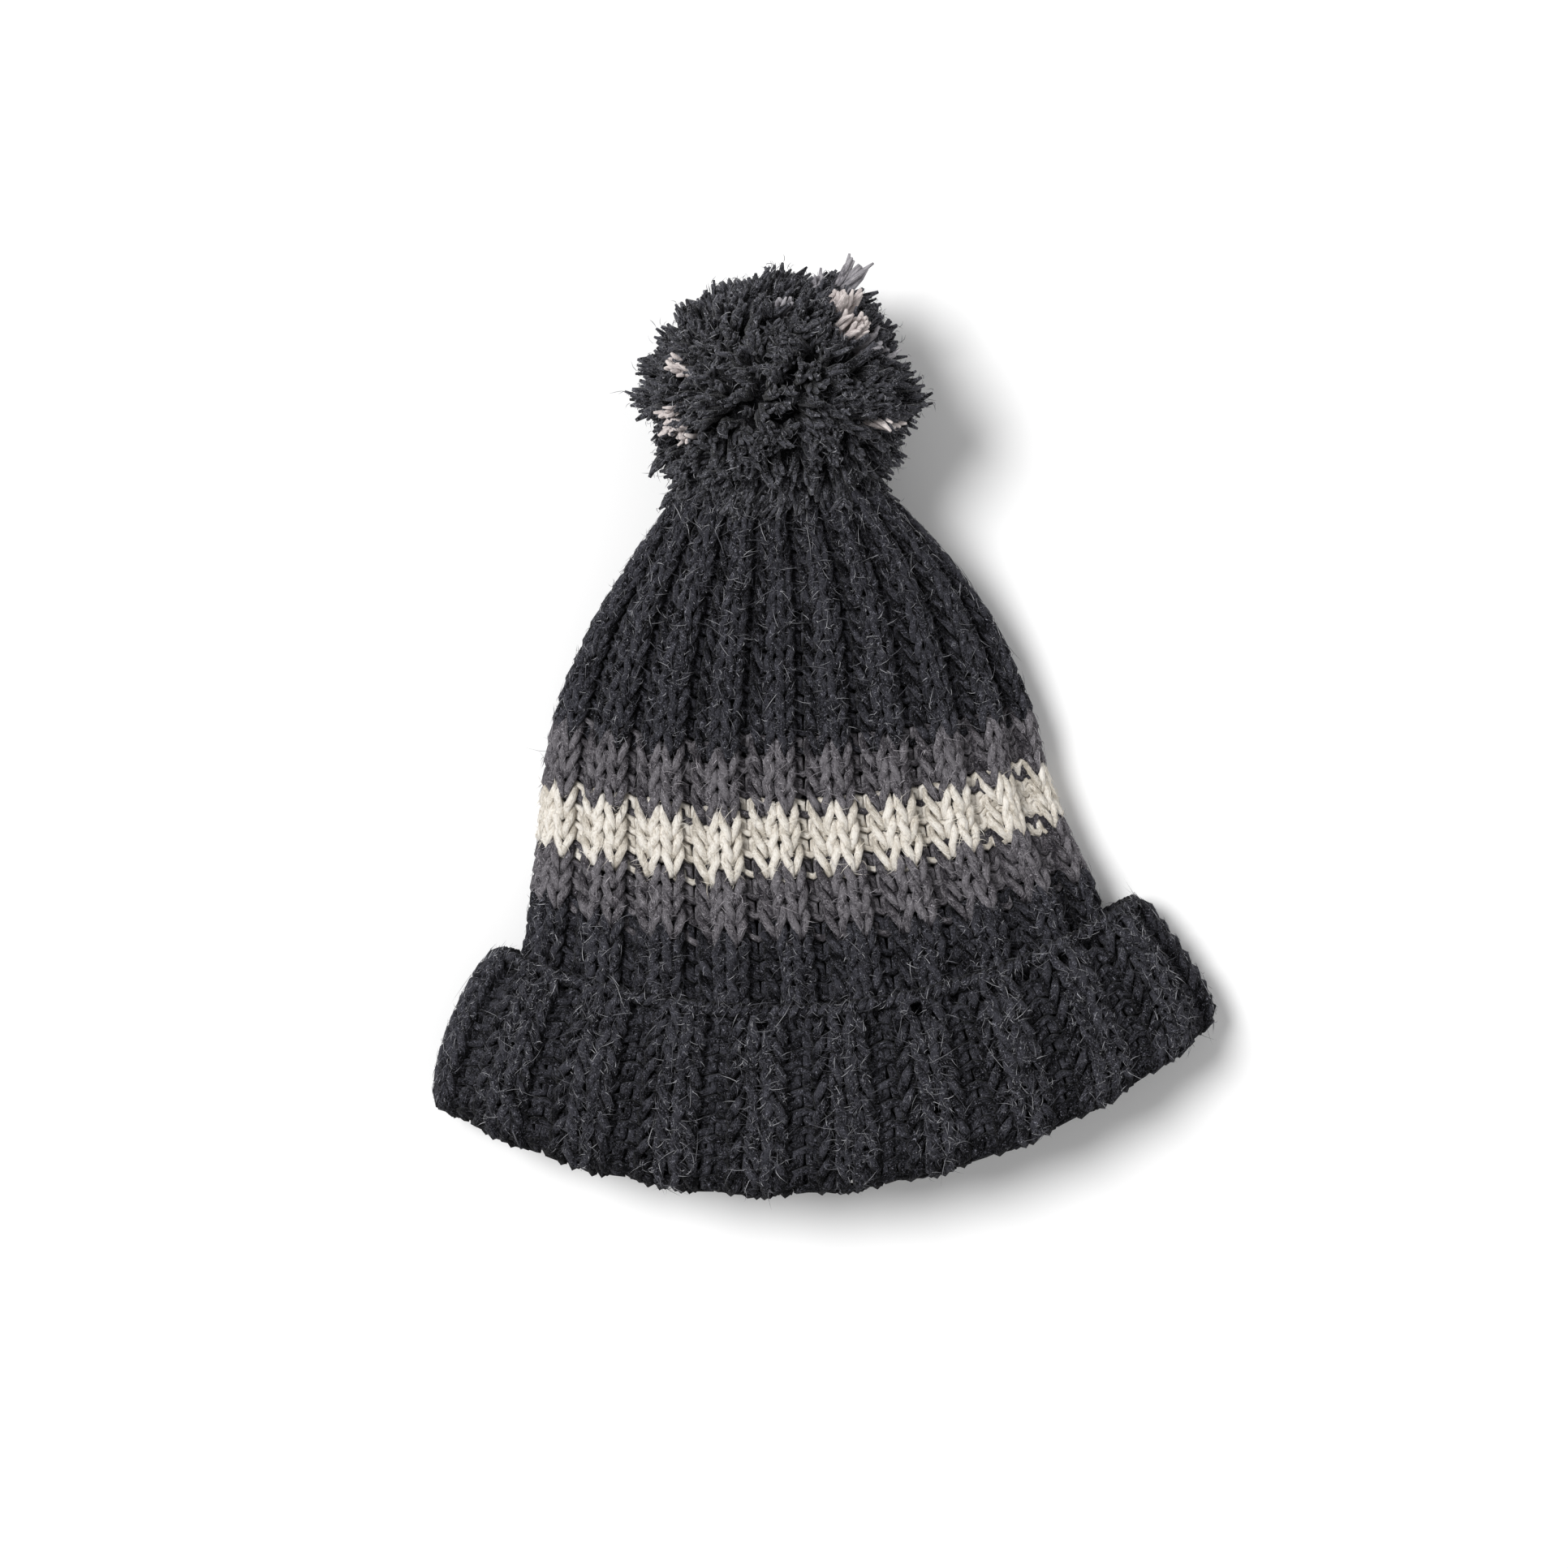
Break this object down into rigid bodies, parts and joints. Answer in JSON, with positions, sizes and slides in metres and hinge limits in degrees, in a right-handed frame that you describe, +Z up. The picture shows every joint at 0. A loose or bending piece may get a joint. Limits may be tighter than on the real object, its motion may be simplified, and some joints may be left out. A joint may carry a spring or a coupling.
{
  "type": "pom-pom hat",
  "caption": "Ribbed knitted wool hat with a turned-up cuff, grey and cream stripes and a yarn pom-pom, lying flat with its mouth open to take a head.",
  "frame": {"origin": "centre of the bounding box, on the surface that the hat lies on", "axes": "+Z up off the surface, +Y from the mouth to the pom-pom, +X across the hat"},
  "size_m": [0.2386, 0.2796, 0.0771],
  "materials": {
    "charcoal_wool": "matte heathered wool, 2x2 rib knit",
    "grey_wool": "matte wool, 2x2 rib knit",
    "cream_wool": "matte undyed wool, 2x2 rib knit",
    "pompom_wool": "cut strands of charcoal wool with a few cream and grey ones",
    "tie_wool": "plied wool cord"
  },
  "bodies": {
    "root": {"cuff_band": "charcoal_wool", "stripe_grey_lower": "grey_wool", "stripe_cream": "cream_wool", "stripe_grey_upper": "grey_wool", "crown": "charcoal_wool", "pompom_tie": "tie_wool", "pompom": "pompom_wool"}
  },
  "joints": []
}
